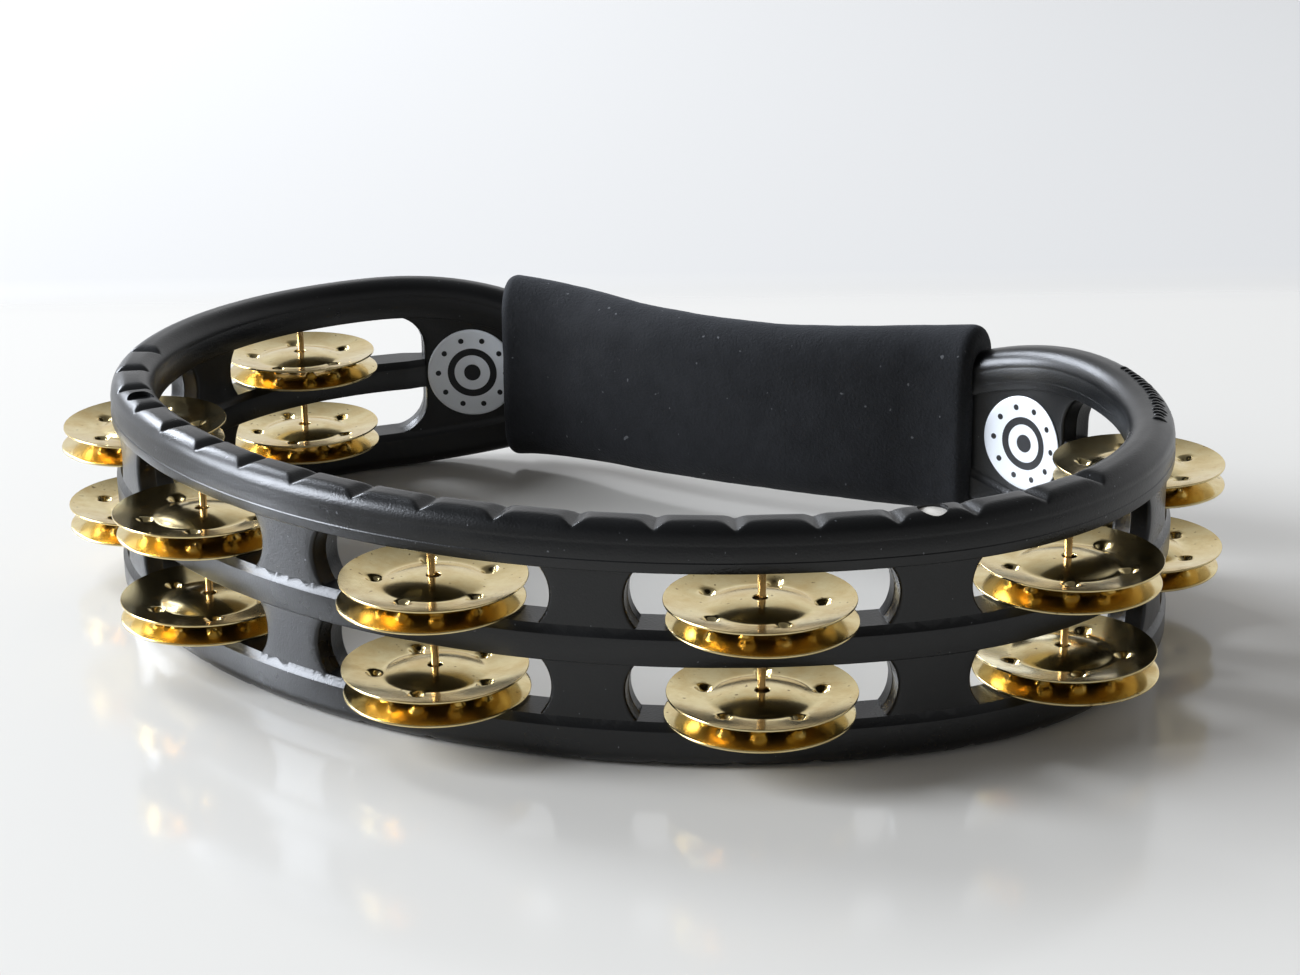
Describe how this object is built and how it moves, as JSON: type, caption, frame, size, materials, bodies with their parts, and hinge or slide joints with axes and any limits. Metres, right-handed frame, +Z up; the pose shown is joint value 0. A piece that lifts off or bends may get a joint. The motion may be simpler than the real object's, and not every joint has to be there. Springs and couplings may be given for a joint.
{
  "type": "tambourine",
  "caption": "Hand-held headless tambourine: moulded ring with two rows of slots, paired brass jingles on upright pins, finger notches and a foam grip sleeve.",
  "frame": {"origin": "middle of the whole part's outline in plan, on the plane that the lower bead rests on", "axes": "+Z up from the resting plane, +Y towards the foam grip, +X to the right seen from the front; the ring is longest along X"},
  "size_m": [0.2776, 0.1994, 0.054],
  "materials": {
    "moulded_abs": "satin black injection-moulded ABS with a fine grain",
    "grip_foam": "matte charcoal closed-cell foam",
    "jingle_brass": "polished pressed sheet brass",
    "pin_wire": "drawn wire, bright",
    "badge_vinyl": "silvery printed vinyl"
  },
  "bodies": {
    "root": {"frame": "moulded_abs", "grip_sleeve": "grip_foam", "badge_left": "badge_vinyl", "badge_right": "badge_vinyl", "pin_1": "pin_wire", "pin_2": "pin_wire", "pin_3": "pin_wire", "pin_4": "pin_wire", "pin_5": "pin_wire", "pin_6": "pin_wire", "pin_7": "pin_wire"},
    "jingle_low_1_under": {"jingle_low_1_under": "jingle_brass"},
    "jingle_low_1_over": {"jingle_low_1_over": "jingle_brass"},
    "jingle_high_1_under": {"jingle_high_1_under": "jingle_brass"},
    "jingle_high_1_over": {"jingle_high_1_over": "jingle_brass"},
    "jingle_low_2_under": {"jingle_low_2_under": "jingle_brass"},
    "jingle_low_2_over": {"jingle_low_2_over": "jingle_brass"},
    "jingle_high_2_under": {"jingle_high_2_under": "jingle_brass"},
    "jingle_high_2_over": {"jingle_high_2_over": "jingle_brass"},
    "jingle_low_3_under": {"jingle_low_3_under": "jingle_brass"},
    "jingle_low_3_over": {"jingle_low_3_over": "jingle_brass"},
    "jingle_high_3_under": {"jingle_high_3_under": "jingle_brass"},
    "jingle_high_3_over": {"jingle_high_3_over": "jingle_brass"},
    "jingle_low_4_under": {"jingle_low_4_under": "jingle_brass"},
    "jingle_low_4_over": {"jingle_low_4_over": "jingle_brass"},
    "jingle_high_4_under": {"jingle_high_4_under": "jingle_brass"},
    "jingle_high_4_over": {"jingle_high_4_over": "jingle_brass"},
    "jingle_low_5_under": {"jingle_low_5_under": "jingle_brass"},
    "jingle_low_5_over": {"jingle_low_5_over": "jingle_brass"},
    "jingle_high_5_under": {"jingle_high_5_under": "jingle_brass"},
    "jingle_high_5_over": {"jingle_high_5_over": "jingle_brass"},
    "jingle_low_6_under": {"jingle_low_6_under": "jingle_brass"},
    "jingle_low_6_over": {"jingle_low_6_over": "jingle_brass"},
    "jingle_high_6_under": {"jingle_high_6_under": "jingle_brass"},
    "jingle_high_6_over": {"jingle_high_6_over": "jingle_brass"},
    "jingle_low_7_under": {"jingle_low_7_under": "jingle_brass"},
    "jingle_low_7_over": {"jingle_low_7_over": "jingle_brass"},
    "jingle_high_7_under": {"jingle_high_7_under": "jingle_brass"},
    "jingle_high_7_over": {"jingle_high_7_over": "jingle_brass"}
  },
  "joints": [
    {"name": "slide_low_1_under", "type": "slide", "parent": "root", "child": "jingle_low_1_under", "axis": [0, 0, 1], "range_m": [0, 0.0033]},
    {"name": "slide_low_1_over", "type": "slide", "parent": "jingle_low_1_under", "child": "jingle_low_1_over", "axis": [0, 0, 1], "range_m": [0, 0.0033]},
    {"name": "slide_high_1_under", "type": "slide", "parent": "root", "child": "jingle_high_1_under", "axis": [0, 0, 1], "range_m": [0, 0.0033]},
    {"name": "slide_high_1_over", "type": "slide", "parent": "jingle_high_1_under", "child": "jingle_high_1_over", "axis": [0, 0, 1], "range_m": [0, 0.0033]},
    {"name": "slide_low_2_under", "type": "slide", "parent": "root", "child": "jingle_low_2_under", "axis": [0, 0, 1], "range_m": [0, 0.0033]},
    {"name": "slide_low_2_over", "type": "slide", "parent": "jingle_low_2_under", "child": "jingle_low_2_over", "axis": [0, 0, 1], "range_m": [0, 0.0033]},
    {"name": "slide_high_2_under", "type": "slide", "parent": "root", "child": "jingle_high_2_under", "axis": [0, 0, 1], "range_m": [0, 0.0033]},
    {"name": "slide_high_2_over", "type": "slide", "parent": "jingle_high_2_under", "child": "jingle_high_2_over", "axis": [0, 0, 1], "range_m": [0, 0.0033]},
    {"name": "slide_low_3_under", "type": "slide", "parent": "root", "child": "jingle_low_3_under", "axis": [0, 0, 1], "range_m": [0, 0.0033]},
    {"name": "slide_low_3_over", "type": "slide", "parent": "jingle_low_3_under", "child": "jingle_low_3_over", "axis": [0, 0, 1], "range_m": [0, 0.0033]},
    {"name": "slide_high_3_under", "type": "slide", "parent": "root", "child": "jingle_high_3_under", "axis": [0, 0, 1], "range_m": [0, 0.0033]},
    {"name": "slide_high_3_over", "type": "slide", "parent": "jingle_high_3_under", "child": "jingle_high_3_over", "axis": [0, 0, 1], "range_m": [0, 0.0033]},
    {"name": "slide_low_4_under", "type": "slide", "parent": "root", "child": "jingle_low_4_under", "axis": [0, 0, 1], "range_m": [0, 0.0033]},
    {"name": "slide_low_4_over", "type": "slide", "parent": "jingle_low_4_under", "child": "jingle_low_4_over", "axis": [0, 0, 1], "range_m": [0, 0.0033]},
    {"name": "slide_high_4_under", "type": "slide", "parent": "root", "child": "jingle_high_4_under", "axis": [0, 0, 1], "range_m": [0, 0.0033]},
    {"name": "slide_high_4_over", "type": "slide", "parent": "jingle_high_4_under", "child": "jingle_high_4_over", "axis": [0, 0, 1], "range_m": [0, 0.0033]},
    {"name": "slide_low_5_under", "type": "slide", "parent": "root", "child": "jingle_low_5_under", "axis": [0, 0, 1], "range_m": [0, 0.0033]},
    {"name": "slide_low_5_over", "type": "slide", "parent": "jingle_low_5_under", "child": "jingle_low_5_over", "axis": [0, 0, 1], "range_m": [0, 0.0033]},
    {"name": "slide_high_5_under", "type": "slide", "parent": "root", "child": "jingle_high_5_under", "axis": [0, 0, 1], "range_m": [0, 0.0033]},
    {"name": "slide_high_5_over", "type": "slide", "parent": "jingle_high_5_under", "child": "jingle_high_5_over", "axis": [0, 0, 1], "range_m": [0, 0.0033]},
    {"name": "slide_low_6_under", "type": "slide", "parent": "root", "child": "jingle_low_6_under", "axis": [0, 0, 1], "range_m": [0, 0.0033]},
    {"name": "slide_low_6_over", "type": "slide", "parent": "jingle_low_6_under", "child": "jingle_low_6_over", "axis": [0, 0, 1], "range_m": [0, 0.0033]},
    {"name": "slide_high_6_under", "type": "slide", "parent": "root", "child": "jingle_high_6_under", "axis": [0, 0, 1], "range_m": [0, 0.0033]},
    {"name": "slide_high_6_over", "type": "slide", "parent": "jingle_high_6_under", "child": "jingle_high_6_over", "axis": [0, 0, 1], "range_m": [0, 0.0033]},
    {"name": "slide_low_7_under", "type": "slide", "parent": "root", "child": "jingle_low_7_under", "axis": [0, 0, 1], "range_m": [0, 0.0033]},
    {"name": "slide_low_7_over", "type": "slide", "parent": "jingle_low_7_under", "child": "jingle_low_7_over", "axis": [0, 0, 1], "range_m": [0, 0.0033]},
    {"name": "slide_high_7_under", "type": "slide", "parent": "root", "child": "jingle_high_7_under", "axis": [0, 0, 1], "range_m": [0, 0.0033]},
    {"name": "slide_high_7_over", "type": "slide", "parent": "jingle_high_7_under", "child": "jingle_high_7_over", "axis": [0, 0, 1], "range_m": [0, 0.0033]}
  ]
}
